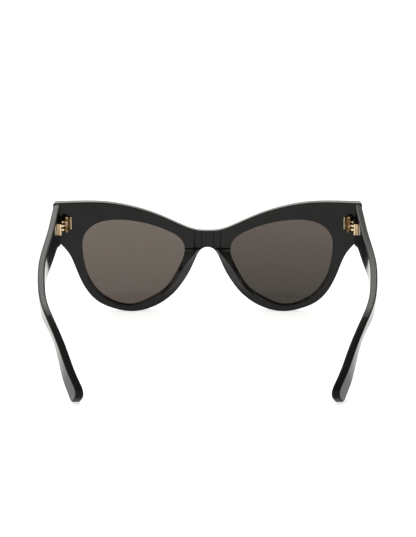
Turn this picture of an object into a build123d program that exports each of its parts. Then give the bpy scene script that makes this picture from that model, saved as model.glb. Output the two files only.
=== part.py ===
"""Cat eye sunglasses: acetate front and temples, cemented nose pads, seven-barrel gold hinges.

Everything is drawn in the front's own upright frame: x to the wearer's right, y forward
from the back of the bridge, z up from the lowest point of the rims. place() then leans the
whole object forward until the temple tips rest on the same table as the rims.
"""

from build123d import *
from math import asin, cos, radians, sin, sqrt, tan
import os

# Front: outline of one half, as (x, z) points
BROW_LINE = [(0, 39.6), (4.0, 39.75), (8.4, 40.8), (14.2, 43.3), (25.5, 48.4),
             (36.9, 52.1), (48.2, 54.3), (59.4, 55.0), (71.9, 55.1)]
BROW_CORNER = (73.1, 53.9)
END_PIECE_FOOT = (73.1, 41.0)
RIM_LINE = [END_PIECE_FOOT, (70.0, 35.2), (66.3, 30.5), (63.1, 23.0), (59.3, 13.8),
            (53.1, 5.9), (45.0, 1.7), (36.6, 0.0), (26.7, 1.9), (19.1, 6.3),
            (12.3, 13.8), (7.9, 21.3), (5.3, 27.2), (3.3, 30.3), (0, 31.6)]
LENS_TEMPORAL = [(44.0, 45.8), (54.7, 43.3), (59.4, 37.4), (59.9, 29.7), (58.0, 19.7),
                 (53.7, 11.5), (46.0, 5.2), (37.3, 2.9)]
LENS_NASAL = [(37.3, 2.9), (28.6, 5.6), (19.9, 11.5), (14.6, 19.7), (11.3, 27.7),
              (11.6, 33.7), (18.4, 39.5), (30.0, 43.8), (44.0, 45.8)]
LENS_STEPS = 12

# Front: curvature and thickness
BACK_RADIUS = 330.0
FACE_RADIUS = 420.0
BRIDGE_THICK = 4.0
BACK_ROUND = 0.45
FACE_ROUND = 0.9
RIM_ROUND = 0.35
RELIEF_STEPS = [(6.2, 0.2), (3.05, 0.25), (2.75, 0.45)]
RELIEF_EDGE = 6.5

# Lenses
LENS_RADIUS = 132.0
LENS_THICK = 1.9
LENS_BEVEL = 0.45
LENS_CENTRE = (35.5, 24.2)
LENS_BULGE = 1.6
GROOVE_DEPTH = 0.8
GROOVE_PLAY = 0.04

# Nose pads: (z, edge x, crest x, crest height, shoulder x, shoulder height) at each level
PAD_LEVELS = [
    (30.9, 3.0, 4.9, 2.2, 10.9, 1.7),
    (26.5, 5.6, 8.5, 3.4, 11.3, 2.1),
    (22.5, 7.4, 11.7, 4.1, 12.8, 3.3),
    (17.0, 10.3, 14.7, 3.7, 15.8, 3.0),
    (12.0, 13.7, 18.0, 2.5, 19.1, 1.9),
    (8.0, 17.3, 21.6, 1.0, 22.6, 0.7),
]
PAD_SPARE = 1.0
PAD_ROUND = 0.35
PAD_TOP_ROUND = 0.2

# Hinges
AXIS_X = 66.8
AXIS_Y = -9.7
BARREL_RADIUS = 1.3
BARREL_LOW = 41.9
BARREL_PITCH = 0.93
BARREL_COUNT = 7
BARREL_GAP = 0.07
SCREW_RADIUS = 0.55
SCREW_PLAY = 0.05
SCREW_FIT = 0.02
SCREW_HEAD_RADIUS = 1.0
SCREW_HEAD_THICK = 0.55
SCREW_SLOT = 0.3
SCREW_TAIL = 0.35
PLATE_INNER = 64.5
PLATE_OUTER = 68.1
PLATE_PROUD = 0.7
PLATE_SUNK = 0.5
PLATE_ROUND = 0.15
PLATE_LOW_TRIM = 0.45
PLATE_HIGH_TRIM = 0.2
ANCHOR_WIDE = 2.4
ANCHOR_TALL = 4.4
ANCHOR_DEEP = 2.4
ANCHOR_BARB = 0.35
SNUG = 0.02
BLOCK_INNER = 68.3
BLOCK_OUTER = 70.5
BLOCK_FRONT = -12.1
BLOCK_BACK = -18.3
BLOCK_TRIM = 0.3
BLOCK_ROUND = 0.5
BLOCK_GROOVE = 0.3
WEB_OUTER = 69.6
TONGUE_THICK = 1.0
TONGUE_LONG = 9.0
TONGUE_TALL = 3.6

# Temples: side line of the top edge as (y, z), then at each station the distance along that line, how far
# the section stands up from square to it, height, outer x, thickness and outward flare of the lower edge
TEMPLE_LINE = [(-4.0, 55.7), (-99.34, 27.46), (-125.42, -3.62)]
BEND_RADIUS = 22.0
TEMPLE_STATIONS = [
    (0.0, 16.5, 20.7, 73.1, 3.2, 0.0),
    (13.1, 16.5, 16.3, 73.1, 3.2, 0.0),
    (26.0, 12.0, 13.1, 73.6, 3.2, 0.0),
    (39.6, 8.5, 12.0, 74.6, 3.2, 0.0),
    (55.6, 4.5, 10.0, 75.4, 3.2, 0.0),
    (73.0, 0.5, 9.5, 74.3, 3.2, 0.0),
    (88.0, 0.0, 9.3, 71.9, 3.2, -0.6),
    (99.0, 0.0, 9.4, 68.5, 3.3, -0.5),
    (108.0, 0.0, 10.0, 64.7, 3.4, 0.8),
    (117.0, 0.0, 10.9, 61.2, 3.5, 1.9),
    (126.0, 0.0, 11.8, 57.7, 3.6, 2.9),
    (134.4, 0.0, 12.5, 54.3, 3.7, 3.9),
]
TEMPLE_GAP = 0.12
TEMPLE_ROUND = 0.75
TIP_ROUND = 5.0
WIRE_RADIUS = 0.7
WIRE_STATIONS = (3, 4, 5, 6, 7, 8, 9, 10)
WIRE_ARC_SHARE = 0.45

# Resting on a table
TABLE_LEAN = 2.854
FRAME_SHIFT_Y = 56.8
FRAME_SHIFT_Z = 0.086

# How far cutting tools reach past what they cut, and how close a point is to a face it lies on
REACH = 30.0
ON_FACE = 0.01


def place(shape):
    """Leans the object forward onto its temple tips and centres it over the origin."""
    return Pos(0, FRAME_SHIFT_Y, FRAME_SHIFT_Z) * (Rot(X=-TABLE_LEAN) * shape)


def both_sides(right):
    """The right-hand piece and its mirror image."""
    return {"right": right, "left": mirror(right, about=Plane.YZ)}


def back_drum(radius):
    """The space behind the front's back face, as a drum about its centre of curvature."""
    return Pos(0, -BACK_RADIUS, 0) * Cylinder(radius, 4 * REACH)


def face_drum():
    """The space behind the front's outer face."""
    return Pos(0, BRIDGE_THICK - FACE_RADIUS, 0) * Cylinder(FACE_RADIUS, 4 * REACH)


def back_depth(x):
    """How far the back face lies behind the bridge at this distance from the middle."""
    return BACK_RADIUS - sqrt(BACK_RADIUS**2 - x**2)


def front_half_outline():
    """One half of the front's silhouette, closed down the middle."""
    with BuildSketch(Plane.XZ) as sketch:
        with BuildLine():
            Spline(*BROW_LINE, tangents=[(1, 0), (1, 0)], tangent_scalars=[1, 1])
            RadiusArc(BROW_LINE[-1], BROW_CORNER, BROW_CORNER[0] - BROW_LINE[-1][0])
            Line(BROW_CORNER, END_PIECE_FOOT)
            Spline(*RIM_LINE, tangents=[(0, -1), (-1, 0)], tangent_scalars=[1, 1])
            Line(RIM_LINE[-1], BROW_LINE[0])
        make_face()
    return sketch.sketch


def front_prism():
    """The whole silhouette, deep enough to cut any thickness of front from it."""
    half = extrude(front_half_outline(), REACH, both=True)
    return half + mirror(half, about=Plane.YZ)


def lens_side(points, start, end, margin):
    """One side of the lens outline, grown by a margin."""
    drawn = Spline(*points, tangents=[start, end], tangent_scalars=[1, 1], mode=Mode.PRIVATE)
    if margin:
        shares = [step / LENS_STEPS for step in range(LENS_STEPS + 1)]
        points = [drawn @ share + (drawn % share).rotate(Axis.Z, 90) * margin for share in shares]
    Spline(*points, tangents=[start, end], tangent_scalars=[1, 1])


def lens_prism(margin):
    """The right lens outline grown by a margin, as a long prism through the front."""
    with BuildSketch(Plane.XZ) as sketch:
        with BuildLine():
            lens_side(LENS_TEMPORAL, (1, 0), (-1, 0), margin)
            lens_side(LENS_NASAL, (-1, 0), (1, 0), margin)
        make_face()
    return extrude(sketch.sketch, REACH, both=True)


def lens_shell(play):
    """The curved sheet the right lens is cut from."""
    x, z = LENS_CENTRE
    wrap = asin(x / BACK_RADIUS)
    middle = BRIDGE_THICK / 2 - (back_depth(x) + FACE_RADIUS - sqrt(FACE_RADIUS**2 - x**2)) / 2
    apex = middle + LENS_BULGE + LENS_THICK / 2
    centre = Pos(x - LENS_RADIUS * sin(wrap), apex - LENS_RADIUS * cos(wrap), z)
    return centre * (Sphere(LENS_RADIUS + play) - Sphere(LENS_RADIUS - LENS_THICK - play))


def lens():
    blank = lens_prism(GROOVE_DEPTH) & lens_shell(0)
    blank = blank.solids().sort_by(Axis.Y)[-1]
    rim = blank.edges().sort_by(SortBy.LENGTH)[-4:]
    return chamfer(rim, LENS_BEVEL)


def bridge_relief():
    """A shallow stepped hollow of three panels behind the bridge."""
    right = [(RELIEF_EDGE, -REACH), (RELIEF_EDGE, -back_depth(RELIEF_EDGE)), *RELIEF_STEPS]
    left = [(-x, y) for x, y in reversed(right)]
    return slab(right + left, 0, 3 * REACH)


def edges_on(solid, radius, drum_y):
    """The edges of a solid that lie on one of the front's two curved faces."""
    found = ShapeList()
    for edge in solid.edges():
        points = [edge.position_at(share) for share in (0.0, 0.5, 1.0)]
        if all(abs(sqrt(p.X**2 + (p.Y - drum_y) ** 2) - radius) < ON_FACE for p in points):
            found.append(edge)
    return found


def rounded_front(solid, back_round, face_round, already=()):
    """Rounds the sharp edges along both curved faces, leaving out those already rounded."""
    centres = [edge.center() for edge in already]
    for radius, drum_y, size in ((BACK_RADIUS, -BACK_RADIUS, back_round),
                                 (FACE_RADIUS, BRIDGE_THICK - FACE_RADIUS, face_round)):
        sharp = edges_on(solid, radius, drum_y)
        fresh = sharp.filter_by(lambda e: all((e.center() - c).length > ON_FACE for c in centres))
        solid = fillet(fresh, size)
    return solid


def front_blank():
    """The front with its rounded outline and lens openings, before any grooves or pockets."""
    blank = (front_prism() & face_drum()) - back_drum(BACK_RADIUS)
    blank = rounded_front(blank.solids()[0], BACK_ROUND, FACE_ROUND)
    done = edges_on(blank, BACK_RADIUS, -BACK_RADIUS)
    done += edges_on(blank, FACE_RADIUS, BRIDGE_THICK - FACE_RADIUS)
    opening = lens_prism(0)
    blank = blank - opening - mirror(opening, about=Plane.YZ)
    blank = rounded_front(blank.solids()[0], RIM_ROUND, RIM_ROUND, done)
    blank = blank - bridge_relief()
    return blank.solids().sort_by(SortBy.VOLUME)[-1]


def groove():
    """The channel that the right lens sits in."""
    return lens_prism(GROOVE_DEPTH + GROOVE_PLAY) & lens_shell(GROOVE_PLAY)


def barrel_level(number):
    """Height of the underside of one barrel, counted from the bottom."""
    return BARREL_LOW + number * BARREL_PITCH


def slab(points, low, high):
    """A flat-sided block drawn in plan and standing between two heights."""
    with BuildSketch(Plane.XY.offset(low)) as sketch:
        with BuildLine():
            Polyline(*points, close=True)
        make_face()
    return extrude(sketch.sketch, high - low)


def box_between(x, y, z):
    """A block between pairs of limits."""
    middle = Pos(sum(x) / 2, sum(y) / 2, sum(z) / 2)
    return middle * Box(x[1] - x[0], y[1] - y[0], z[1] - z[0])


def barrel(number, radius, low_play, high_play):
    """One barrel of the hinge, about the hinge's own axis."""
    low = barrel_level(number) + low_play
    high = barrel_level(number + 1) - high_play
    return Pos(AXIS_X, AXIS_Y, (low + high) / 2) * Cylinder(radius, high - low)


def front_plate_back():
    return -back_depth((PLATE_INNER + PLATE_OUTER) / 2) - PLATE_PROUD


def front_anchor(grow):
    """The barbed tongue of the front leaf, inside the end piece."""
    x = (PLATE_INNER + PLATE_OUTER) / 2
    z = BARREL_LOW + BARREL_COUNT * BARREL_PITCH / 2
    start = front_plate_back() + PLATE_PROUD
    end = start + PLATE_SUNK + ANCHOR_DEEP
    sides = (x - ANCHOR_WIDE / 2 - grow, x + ANCHOR_WIDE / 2 + grow)
    stem_half = ANCHOR_TALL / 2 + grow
    barb_half = stem_half + ANCHOR_BARB
    barb_start = end - ANCHOR_DEEP / 3 - grow
    stem = box_between(sides, (start, end + grow), (z - stem_half, z + stem_half))
    barb = box_between(sides, (barb_start, end + grow), (z - barb_half, z + barb_half))
    return stem + barb


def front_plate(grow):
    """The flat plate of the front leaf."""
    back = front_plate_back()
    face = back + PLATE_PROUD + PLATE_SUNK + grow
    low = BARREL_LOW + PLATE_LOW_TRIM - grow
    high = BARREL_LOW + BARREL_COUNT * BARREL_PITCH - PLATE_HIGH_TRIM + grow
    return box_between((PLATE_INNER - grow, PLATE_OUTER + grow), (back, face), (low, high))


def hinge_front():
    """Front leaf: plate, anchor and four barrels."""
    plate = front_plate(0)
    plate = fillet(plate.edges().filter_by(Axis.Z).sort_by(Axis.Y)[:2], PLATE_ROUND)
    leaf = plate + front_anchor(0)
    half_gap = BARREL_GAP / 2
    for number in range(0, BARREL_COUNT, 2):
        low_play = half_gap if number else 0
        high_play = half_gap if number < BARREL_COUNT - 1 else 0
        low = barrel_level(number) + low_play
        high = barrel_level(number + 1) - high_play
        web = box_between((AXIS_X - BARREL_RADIUS, AXIS_X + BARREL_RADIUS),
                          (AXIS_Y, front_plate_back() + PLATE_SUNK), (low, high))
        leaf = leaf + web + barrel(number, BARREL_RADIUS, low_play, high_play)
    leaf = leaf - screw_hole(SCREW_FIT)
    return leaf.solids().sort_by(SortBy.VOLUME)[-1]


def screw_hole(play):
    middle = BARREL_LOW + BARREL_COUNT * BARREL_PITCH / 2
    return Pos(AXIS_X, AXIS_Y, middle) * Cylinder(SCREW_RADIUS + play, 2 * BARREL_COUNT * BARREL_PITCH)


def hinge_screw():
    """Screw through all the barrels, with a slotted head on top."""
    top = BARREL_LOW + BARREL_COUNT * BARREL_PITCH
    low = BARREL_LOW - SCREW_TAIL
    shank = Pos(AXIS_X, AXIS_Y, (low + top) / 2) * Cylinder(SCREW_RADIUS, top - low)
    head = Cylinder(SCREW_HEAD_RADIUS, SCREW_HEAD_THICK)
    head = Pos(AXIS_X, AXIS_Y, top + SCREW_HEAD_THICK / 2) * head
    head = fillet(head.edges().sort_by(Axis.Z)[-1:], SCREW_HEAD_THICK / 3)
    slot = Box(3 * SCREW_HEAD_RADIUS, SCREW_SLOT, SCREW_HEAD_THICK)
    slot = Pos(AXIS_X, AXIS_Y, top + SCREW_HEAD_THICK) * slot
    screw = shank + head - slot
    return screw.solids()[0]


def temple_anchor(grow):
    """The tongue of the temple leaf, inside the temple."""
    low = barrel_level(1)
    high = barrel_level(BARREL_COUNT - 1)
    middle = (low + high) / 2
    plate = box_between((BLOCK_OUTER - grow, BLOCK_OUTER + TONGUE_THICK / 2 + grow),
                        (BLOCK_BACK - grow, BLOCK_FRONT + grow), (low - grow, high + grow))
    tongue = box_between((BLOCK_OUTER + TONGUE_THICK / 4 - grow, BLOCK_OUTER + TONGUE_THICK * 5 / 4 + grow),
                         (BLOCK_FRONT - TONGUE_LONG - grow, BLOCK_FRONT - BLOCK_TRIM + grow),
                         (middle - TONGUE_TALL / 2 - grow, middle + TONGUE_TALL / 2 + grow))
    return plate + tongue


def temple_block(grow):
    """The visible block of the temple leaf."""
    low = BARREL_LOW + BLOCK_TRIM - grow
    high = barrel_level(BARREL_COUNT - 1) - BARREL_GAP / 2 + grow
    return box_between((BLOCK_INNER - grow, BLOCK_OUTER + grow), (BLOCK_BACK - grow, BLOCK_FRONT + grow),
                       (low, high))


def hinge_temple():
    """Temple leaf: block, anchor tongue and three barrels."""
    block = temple_block(0)
    upright = block.edges().filter_by(Axis.Z)
    block = fillet(upright.sort_by(Axis.Y)[:2], BLOCK_ROUND)
    groove_x = (BLOCK_INNER + BLOCK_OUTER) / 2
    notch = Pos(groove_x, BLOCK_BACK, 0) * (Rot(Z=45) * Box(BLOCK_GROOVE, BLOCK_GROOVE, 4 * REACH))
    leaf = block - notch + temple_anchor(0)
    half_gap = BARREL_GAP / 2
    for number in range(1, BARREL_COUNT, 2):
        low = barrel_level(number) + half_gap
        high = barrel_level(number + 1) - half_gap
        web = slab([(AXIS_X, AXIS_Y + BARREL_RADIUS), (AXIS_X - BARREL_RADIUS, AXIS_Y),
                    (AXIS_X - BARREL_RADIUS / 2, AXIS_Y - BARREL_RADIUS),
                    (BLOCK_INNER, BLOCK_FRONT - BLOCK_TRIM), (WEB_OUTER, BLOCK_FRONT - BLOCK_TRIM),
                    (WEB_OUTER, BLOCK_FRONT), (AXIS_X + BARREL_RADIUS, AXIS_Y)], low, high)
        leaf = leaf + web + barrel(number, BARREL_RADIUS, half_gap, half_gap)
    leaf = leaf - screw_hole(SCREW_PLAY)
    return leaf.solids().sort_by(SortBy.VOLUME)[-1]


def pad_section(level):
    """One level of a nose pad: up from the rim's edge to the crest, then down over the shoulder."""
    z, edge_x, crest_x, height, shoulder_x, shoulder = level
    flare = (crest_x - edge_x) / height
    base = -back_depth(edge_x)
    points = [(edge_x - PAD_SPARE * flare, base + PAD_SPARE), (crest_x, base - height),
              (shoulder_x, base - shoulder), (shoulder_x, base + PAD_SPARE)]
    with BuildSketch(Plane.XY.offset(z)) as sketch:
        with BuildLine():
            Polyline(*points, close=True)
        make_face()
    return sketch.sketch


def nose_pad(front):
    """Right nose pad, cemented to the back of the rim."""
    blank = loft([pad_section(level) for level in PAD_LEVELS])
    long_edges = blank.edges().filter_by(lambda e: e.length > REACH / 2).sort_by(Axis.Y)
    blank = fillet(long_edges[:2], PAD_ROUND)
    top = blank.faces().sort_by(Axis.Z)[-1]
    blank = fillet(top.edges().sort_by(Axis.Y)[:3], PAD_TOP_ROUND)
    pad = (blank & front_prism()) - front
    return pad.solids().sort_by(SortBy.VOLUME)[-1]


def temple_frame(station):
    """Plane of one section of the right temple, centred on it."""
    run, upright, height, outer_x, thick, flare = station
    line = FilletPolyline(*[(0, y, z) for y, z in TEMPLE_LINE], radius=BEND_RADIUS)
    top = line.position_at(run, position_mode=PositionMode.LENGTH)
    slope = line.tangent_at(run, position_mode=PositionMode.LENGTH)
    tilt = asin(-slope.Z) - radians(upright)
    down = Vector(0, sin(tilt), -cos(tilt))
    across = Vector(1, 0, 0)
    centre = Vector(outer_x - thick / 2 + flare / 2, top.Y, top.Z) + down * (height / 2)
    along = across.cross(down)
    return Plane(origin=tuple(centre), x_dir=tuple(across), z_dir=tuple(along))


def temple_section(station):
    """One section of the right temple: a sheet whose lower edge flares outward near the tip."""
    run, upright, height, outer_x, thick, flare = station
    points = [(-(thick + flare) / 2, -height / 2), ((thick - flare) / 2, -height / 2),
              ((thick + flare) / 2, height / 2), ((flare - thick) / 2, height / 2)]
    with BuildSketch(temple_frame(station)) as sketch:
        with BuildLine():
            Polyline(*points, close=True)
        make_face()
    return sketch.sketch


def temple_blank():
    """Right temple, squared off at the hinge and rounded at the tip."""
    bar = loft([temple_section(station) for station in TEMPLE_STATIONS])
    tip = bar.faces().sort_by(Axis.Y)[0]
    tip_corners = tip.edges().sort_by(SortBy.LENGTH)[:2]
    bar = fillet(tip_corners, TIP_ROUND)
    bar = (bar & back_drum(BACK_RADIUS - TEMPLE_GAP)).solids()[0]
    hinge_end = bar.faces().sort_by(Axis.Y)[-1].edges()
    long_edges = bar.edges().filter_by(lambda e: e not in hinge_end)
    return fillet(long_edges, TEMPLE_ROUND)


def wire_path():
    """Straight runs between the middles of the temple's sections, joined by tangent arcs."""
    points = [temple_frame(TEMPLE_STATIONS[number]).origin for number in WIRE_STATIONS]
    radii = []
    for before, corner, after in zip(points, points[1:], points[2:]):
        turn = radians((corner - before).get_angle(after - corner))
        shorter = min((corner - before).length, (after - corner).length)
        radii.append(WIRE_ARC_SHARE * shorter / tan(turn / 2))
    return FilletPolyline(*points, radius=radii)


def core_wire(play):
    path = wire_path()
    start = Plane(origin=path @ 0, z_dir=path % 0)
    return sweep(start * Circle(WIRE_RADIUS + play), path=path)


def write(name, shape):
    export_step(place(shape), os.path.join("parts", name + ".step"))


def main():
    os.makedirs("parts", exist_ok=True)
    front = front_blank()
    pads = both_sides(nose_pad(front))
    pockets = {"groove": groove(), "plate": front_plate(SNUG), "anchor": front_anchor(SNUG)}
    for pocket in pockets.values():
        front = front - pocket - mirror(pocket, about=Plane.YZ)
    temple = temple_blank() - temple_anchor(SNUG) - temple_block(SNUG) - core_wire(SNUG)
    pieces = {
        "lens": lens(),
        "hinge_front": hinge_front(),
        "hinge_temple": hinge_temple(),
        "hinge_screw": hinge_screw(),
        "temple": temple.solids().sort_by(SortBy.VOLUME)[-1],
        "core_wire": core_wire(0),
    }
    write("front_frame", front.solids().sort_by(SortBy.VOLUME)[-1])
    for side, pad in pads.items():
        write("nose_pad_" + side, pad)
    for name, piece in pieces.items():
        for side, shape in both_sides(piece).items():
            write(name + "_" + side, shape)


main()
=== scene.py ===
"""Looks for the cat eye sunglasses: studio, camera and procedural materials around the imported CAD."""
import math

import bpy
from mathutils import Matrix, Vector


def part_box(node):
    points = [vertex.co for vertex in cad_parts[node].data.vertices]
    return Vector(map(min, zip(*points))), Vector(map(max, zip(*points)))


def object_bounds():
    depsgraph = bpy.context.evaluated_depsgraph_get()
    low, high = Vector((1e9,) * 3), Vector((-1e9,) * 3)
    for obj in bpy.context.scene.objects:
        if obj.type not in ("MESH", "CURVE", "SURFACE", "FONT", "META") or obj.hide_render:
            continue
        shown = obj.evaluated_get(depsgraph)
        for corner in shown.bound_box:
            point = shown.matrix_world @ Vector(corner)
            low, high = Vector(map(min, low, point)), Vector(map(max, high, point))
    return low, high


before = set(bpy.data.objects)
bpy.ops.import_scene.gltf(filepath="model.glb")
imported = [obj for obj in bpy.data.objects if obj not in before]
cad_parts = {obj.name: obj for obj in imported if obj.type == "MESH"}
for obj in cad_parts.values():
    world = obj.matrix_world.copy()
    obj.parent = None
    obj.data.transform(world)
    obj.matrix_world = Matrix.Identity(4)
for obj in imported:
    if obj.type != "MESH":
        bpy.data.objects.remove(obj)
cad_low, cad_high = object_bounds()

# Camera, in metres and degrees
CAMERA_PLACE = (0.00019, -0.70247, 0.2733)
CAMERA_PITCH = 18.354
CAMERA_LENS = 111.45
SENSOR = 36.0
CLIP_NEAR = 0.01
CLIP_FAR = 50.0

# Studio
FLOOR_HALF = 4.0
FLOOR_COLOUR = (0.5, 0.5, 0.5)
FLOOR_GLOW = 0.72
FLOOR_ROUGH = 0.9
FLOOR_SHINE = 0.1
WORLD_DEPTH = [(0.0, (0.29, 0.28, 0.26)), (0.5, (0.6, 0.585, 0.54)), (1.0, (1.0, 0.975, 0.9))]
WORLD_RISE = (0.2, 1.0)
WORLD_SIDE = 0.3
WORLD_LEFT = 1.25
WORLD_RIGHT = 0.6
WORLD_TOP = 1.2
WORLD_STRENGTH = 1.55
KEY_PLACE = (0.15, 0.45, 0.9)
KEY_AIM = (0, 0, 0.02)
KEY_SIZE = (0.9, 0.6)
KEY_POWER = 4.0

# Lens tint at the bottom and top of the left lens, then of the right lens, which is darker: that extra
# darkness is painted shade, not dye
LENS_TINTS_WITH_PAINTED_SHADE = [
    [(0.081, 0.0675, 0.058), (0.12, 0.103, 0.089)],
    [(0.042, 0.037, 0.032), (0.09, 0.0745, 0.065)],
]

# Lower than a real lens material's, so that the lens reflects as little as a coated one
LENS_COATED_IOR = 1.2
LENS_ROUGH = (0.0, 0.02)

# Black acetate: darkest and palest tone, roughness range and shine
ACETATE_DARK = (0.003, 0.003, 0.003)
ACETATE_PALE = (0.006, 0.006, 0.006)
ACETATE_ROUGH = (0.06, 0.12)
PAD_PALE = (0.007, 0.007, 0.007)
PAD_ROUGH = (0.05, 0.1)
ACETATE_SHINE = 0.22
ACETATE_IOR = 1.49

# Metals: tarnished tone, also used for the painted shade around the hinge pins, and clean tone, and
# roughness range
GOLD_TONES = ((0.12, 0.064, 0.021), (0.8, 0.655, 0.44))
GOLD_ROUGH = (0.08, 0.18)
SCREW_TONES = ((0.3, 0.2, 0.09), (0.9, 0.75, 0.45))
SCREW_ROUGH = (0.12, 0.28)
CORE_TONES = ((0.45, 0.45, 0.46), (0.6, 0.6, 0.6))
CORE_ROUGH = (0.2, 0.35)

# Noise: scale and detail, and where named, its roughness, the part of its range that is used, and the
# factor on its coordinates along each axis
CLOUDS = (90, 5)
CLOUD_ROUGH = 0.6
RUBBED = (1400, 3)
RUBBED_AXES = (1, 6, 1)
RIPPLE = (160, 2)
SMEAR = (220, 4)
TARNISH = (700, 4)
TARNISH_BAND = (0.12, 0.42)
TOOLING = (2500, 2)
TOOLING_AXES = (1, 1, 9)
NOISE_BAND = (0.3, 0.7)

# Bumps: strength and height in metres
RIPPLE_BUMP = (0.25, 0.00002)
TOOLING_BUMP = (0.15, 0.00001)

# Lines scribed behind the bridge, as distances from the middle, half their width, and how far ahead of the
# front of the nose pads they end
SCRIBED = (0.0029, 0.00622)
SCRIBED_HALF = 0.00017
SCRIBED_AHEAD = 0.0005

# Share of the shine left on the temple tips, and the stretch of y over which the rest returns
TIP_SHINE = 0.5
TIP_BACK = -0.052
TIP_FRONT = -0.03

# How far the painted shade on the knuckles reaches from the hinge pin, and how strong it is
KNUCKLE_NEAR = 0.0026
KNUCKLE_FAR = 0.0031
KNUCKLE_PAINTED_SHADE = 0.4


def new_material(name):
    """An empty material with one Principled shader, and its tree."""
    material = bpy.data.materials.new(name)
    material.use_nodes = True
    tree = material.node_tree
    tree.nodes.clear()
    shader = tree.nodes.new("ShaderNodeBsdfPrincipled")
    output = tree.nodes.new("ShaderNodeOutputMaterial")
    tree.links.new(shader.outputs["BSDF"], output.inputs["Surface"])
    return material, tree, shader


def object_space(tree, stretch=(1, 1, 1)):
    """Coordinates fixed to the object, in metres, scaled along each axis."""
    where = tree.nodes.new("ShaderNodeTexCoord")
    mapping = tree.nodes.new("ShaderNodeMapping")
    mapping.inputs["Scale"].default_value = stretch
    tree.links.new(where.outputs["Object"], mapping.inputs["Vector"])
    return mapping.outputs["Vector"]


def noise(tree, vector, scale, detail, rough=0.5):
    """Smooth noise over a vector, from 0 to 1."""
    node = tree.nodes.new("ShaderNodeTexNoise")
    node.inputs["Scale"].default_value = scale
    node.inputs["Detail"].default_value = detail
    node.inputs["Roughness"].default_value = rough
    tree.links.new(vector, node.inputs["Vector"])
    return node.outputs["Fac"]


def ramp(tree, factor, stops):
    """Colours along a factor: stops are (position, colour)."""
    node = tree.nodes.new("ShaderNodeValToRGB")
    band = node.color_ramp
    while len(band.elements) < len(stops):
        band.elements.new(0.5)
    for element, (position, colour) in zip(band.elements, stops):
        element.position = position
        element.color = (*colour, 1)
    tree.links.new(factor, node.inputs["Fac"])
    return node.outputs["Color"]


def spread(tree, factor, low, high, start=NOISE_BAND[0], end=NOISE_BAND[1]):
    """A factor spread over a range of values."""
    node = tree.nodes.new("ShaderNodeMapRange")
    node.inputs["From Min"].default_value = start
    node.inputs["From Max"].default_value = end
    node.inputs["To Min"].default_value = low
    node.inputs["To Max"].default_value = high
    tree.links.new(factor, node.inputs["Value"])
    return node.outputs["Result"]


def calculate(tree, operation, *terms):
    """One arithmetic step on values or constants."""
    node = tree.nodes.new("ShaderNodeMath")
    node.operation = operation
    for socket, term in zip(node.inputs, terms):
        if isinstance(term, (int, float)):
            socket.default_value = term
        else:
            tree.links.new(term, socket)
    return node.outputs["Value"]


def components(tree, vector):
    """The three parts of a vector."""
    split = tree.nodes.new("ShaderNodeSeparateXYZ")
    tree.links.new(vector, split.inputs["Vector"])
    return [split.outputs[name] for name in "XYZ"]


def bump(tree, height, shader, strength, distance):
    """Raises a shader's surface by a height from 0 to 1 times the distance."""
    node = tree.nodes.new("ShaderNodeBump")
    node.inputs["Strength"].default_value = strength
    node.inputs["Distance"].default_value = distance
    tree.links.new(height, node.inputs["Height"])
    tree.links.new(node.outputs["Normal"], shader.inputs["Normal"])


def acetate(name, dark, pale, smooth, rough):
    """Polished black acetate: faint clouding, a soft ripple, fine haze, scribed lines and duller tips."""
    material, tree, shader = new_material(name)
    plain = object_space(tree)
    clouds = noise(tree, plain, *CLOUDS, CLOUD_ROUGH)
    tree.links.new(ramp(tree, clouds, list(zip(NOISE_BAND, (dark, pale)))), shader.inputs["Base Color"])
    rubbed = noise(tree, object_space(tree, RUBBED_AXES), *RUBBED)
    tree.links.new(spread(tree, rubbed, smooth, rough), shader.inputs["Roughness"])
    ripple = noise(tree, plain, *RIPPLE)
    bump(tree, ripple, shader, *RIPPLE_BUMP)
    shader.inputs["IOR"].default_value = ACETATE_IOR
    x, y = components(tree, plain)[:2]
    off = calculate(tree, "ABSOLUTE", x)
    first, second = [calculate(tree, "ABSOLUTE", calculate(tree, "SUBTRACT", off, line)) for line in SCRIBED]
    near = calculate(tree, "MINIMUM", first, second)
    clear = spread(tree, near, 0.0, ACETATE_SHINE, SCRIBED_HALF / 2, SCRIBED_HALF)
    ahead = spread(tree, y, 0.0, ACETATE_SHINE, bridge_middle, bridge_middle + SCRIBED_HALF)
    dulled = spread(tree, y, TIP_SHINE, 1.0, TIP_BACK, TIP_FRONT)
    level = calculate(tree, "MULTIPLY", calculate(tree, "MAXIMUM", clear, ahead), dulled)
    tree.links.new(level, shader.inputs["Specular IOR Level"])
    return material


def tinted_lens(name, tints_with_painted_shade, low, high):
    """Grey-brown tinted lens, graded down each lens and darker on the right as painted shade, with polished
    faces.
    """
    material, tree, shader = new_material(name)
    plain = object_space(tree)
    x, _, z = components(tree, plain)
    height = spread(tree, z, 0.0, 1.0, low.z, high.z)
    # painted shade: the tint darkens from the left lens across to the right one
    painted_shade_across = spread(tree, x, 0.0, 1.0, high.x, -high.x)
    mix = tree.nodes.new("ShaderNodeMix")
    mix.data_type = "RGBA"
    tree.links.new(painted_shade_across, mix.inputs["Factor"])
    for socket, (tint_low, tint_top) in zip(("A", "B"), tints_with_painted_shade):
        socket = next(s for s in mix.inputs if s.name == socket and s.type == "RGBA")
        tree.links.new(ramp(tree, height, [(0.0, tint_low), (1.0, tint_top)]), socket)
    blended = next(s for s in mix.outputs if s.type == "RGBA")
    tree.links.new(blended, shader.inputs["Base Color"])
    smear = noise(tree, plain, *SMEAR)
    tree.links.new(spread(tree, smear, *LENS_ROUGH), shader.inputs["Roughness"])
    shader.inputs["Transmission Weight"].default_value = 1.0
    shader.inputs["IOR"].default_value = LENS_COATED_IOR
    return material


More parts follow.
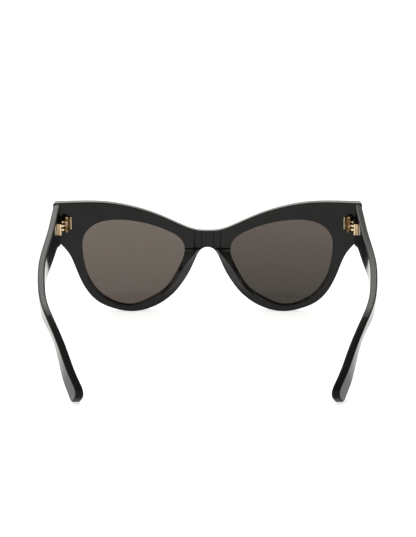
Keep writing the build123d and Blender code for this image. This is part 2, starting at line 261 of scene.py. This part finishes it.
def plated(name, dark, pale, smooth, rough):
    """Metal with fine tooling marks and a little tarnish, with painted shade around the hinge pins."""
    material, tree, shader = new_material(name)
    plain = object_space(tree)
    x, y = components(tree, plain)[:2]
    # painted shade: the tone darkens towards the hinge pins, where the knuckles sit in shade
    aside = calculate(tree, "SUBTRACT", calculate(tree, "ABSOLUTE", x), pin.x)
    behind = calculate(tree, "SUBTRACT", y, pin.y)
    reach = calculate(tree, "SQRT", calculate(tree, "ADD", calculate(tree, "MULTIPLY", aside, aside),
                                              calculate(tree, "MULTIPLY", behind, behind)))
    painted_shade_near_pin = spread(tree, reach, KNUCKLE_PAINTED_SHADE, 0.0, KNUCKLE_NEAR, KNUCKLE_FAR)
    tarnish_and_painted_shade = calculate(tree, "SUBTRACT", noise(tree, plain, *TARNISH), painted_shade_near_pin)
    stops = list(zip(TARNISH_BAND, (dark, pale)))
    tree.links.new(ramp(tree, tarnish_and_painted_shade, stops), shader.inputs["Base Color"])
    marks = noise(tree, object_space(tree, TOOLING_AXES), *TOOLING)
    tree.links.new(spread(tree, marks, smooth, rough), shader.inputs["Roughness"])
    bump(tree, marks, shader, *TOOLING_BUMP)
    shader.inputs["Metallic"].default_value = 1.0
    return material


def dress(prefixes, material):
    """Gives a material to every CAD node whose name starts with one of the prefixes."""
    for name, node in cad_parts.items():
        if name.startswith(prefixes):
            if not node.material_slots:
                node.data.materials.append(material)
            for slot in node.material_slots:
                slot.material = material


def make_camera():
    """The photo's view, straight on from behind and a little above."""
    data = bpy.data.cameras.new("camera")
    data.lens = CAMERA_LENS
    data.sensor_width = SENSOR
    data.clip_start = CLIP_NEAR
    data.clip_end = CLIP_FAR
    camera = bpy.data.objects.new("camera", data)
    camera.location = CAMERA_PLACE
    camera.rotation_euler = (math.radians(90 - CAMERA_PITCH), 0, 0)
    bpy.context.scene.collection.objects.link(camera)
    bpy.context.scene.camera = camera


def make_floor():
    """A plain pale floor that gives off light, level with the lowest point of the object."""
    mesh = bpy.data.meshes.new("floor")
    h = FLOOR_HALF
    mesh.from_pydata([(-h, -h, 0), (h, -h, 0), (h, h, 0), (-h, h, 0)], [], [(0, 1, 2, 3)])
    floor = bpy.data.objects.new("floor", mesh)
    floor.location.z = cad_low.z
    bpy.context.scene.collection.objects.link(floor)
    material, tree, shader = new_material("floor_paper")
    shader.inputs["Base Color"].default_value = (*FLOOR_COLOUR, 1)
    shader.inputs["Emission Color"].default_value = (1, 1, 1, 1)
    shader.inputs["Emission Strength"].default_value = FLOOR_GLOW
    shader.inputs["Roughness"].default_value = FLOOR_ROUGH
    shader.inputs["Specular IOR Level"].default_value = FLOOR_SHINE
    mesh.materials.append(material)


def make_light(name, place, aim, size, power):
    """A rectangular soft light turned towards a point."""
    data = bpy.data.lights.new(name, "AREA")
    data.shape = "RECTANGLE"
    data.size, data.size_y = size
    data.energy = power
    light = bpy.data.objects.new(name, data)
    light.location = place
    direction = Vector(aim) - Vector(place)
    light.rotation_euler = direction.to_track_quat("-Z", "Y").to_euler()
    bpy.context.scene.collection.objects.link(light)


def make_world():
    """A soft studio: bright ahead and overhead, dimmer behind the camera and to the right."""
    world = bpy.data.worlds.new("studio")
    world.use_nodes = True
    tree = world.node_tree
    tree.nodes.clear()
    where = tree.nodes.new("ShaderNodeTexCoord")
    x, y, z = components(tree, where.outputs["Generated"])
    colour = ramp(tree, spread(tree, y, 0.0, 1.0, -1.0, 1.0), WORLD_DEPTH)
    rise = spread(tree, z, WORLD_STRENGTH, WORLD_STRENGTH * WORLD_TOP, *WORLD_RISE)
    side = spread(tree, x, WORLD_LEFT, WORLD_RIGHT, -WORLD_SIDE, WORLD_SIDE)
    background = tree.nodes.new("ShaderNodeBackground")
    tree.links.new(colour, background.inputs["Color"])
    tree.links.new(calculate(tree, "MULTIPLY", rise, side), background.inputs["Strength"])
    output = tree.nodes.new("ShaderNodeOutputWorld")
    tree.links.new(background.outputs["Background"], output.inputs["Surface"])
    bpy.context.scene.world = world


bpy.context.scene.view_settings.view_transform = "Standard"
make_camera()
make_floor()
make_world()
make_light("key", KEY_PLACE, KEY_AIM, KEY_SIZE, KEY_POWER)

bridge_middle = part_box("nose_pad_left")[1].y + SCRIBED_AHEAD
pin_low, pin_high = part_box("hinge_screw_right")
pin = (pin_low + pin_high) / 2
black_acetate = acetate("black_acetate_polished", ACETATE_DARK, ACETATE_PALE, *ACETATE_ROUGH)
pad_acetate = acetate("pad_acetate_polished", ACETATE_DARK, PAD_PALE, *PAD_ROUGH)
gold = plated("gold_plated", *GOLD_TONES, *GOLD_ROUGH)
screw_metal = plated("screw_metal_turned", *SCREW_TONES, *SCREW_ROUGH)
core_metal = plated("core_metal_drawn", *CORE_TONES, *CORE_ROUGH)
dress(("front_frame", "temple_"), black_acetate)
dress(("nose_pad",), pad_acetate)
dress(("lens_",), tinted_lens("tinted_lens_with_painted_shade", LENS_TINTS_WITH_PAINTED_SHADE, *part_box("lens_left")))
dress(("hinge_front", "hinge_temple"), gold)
dress(("hinge_screw",), screw_metal)
dress(("core_wire",), core_metal)
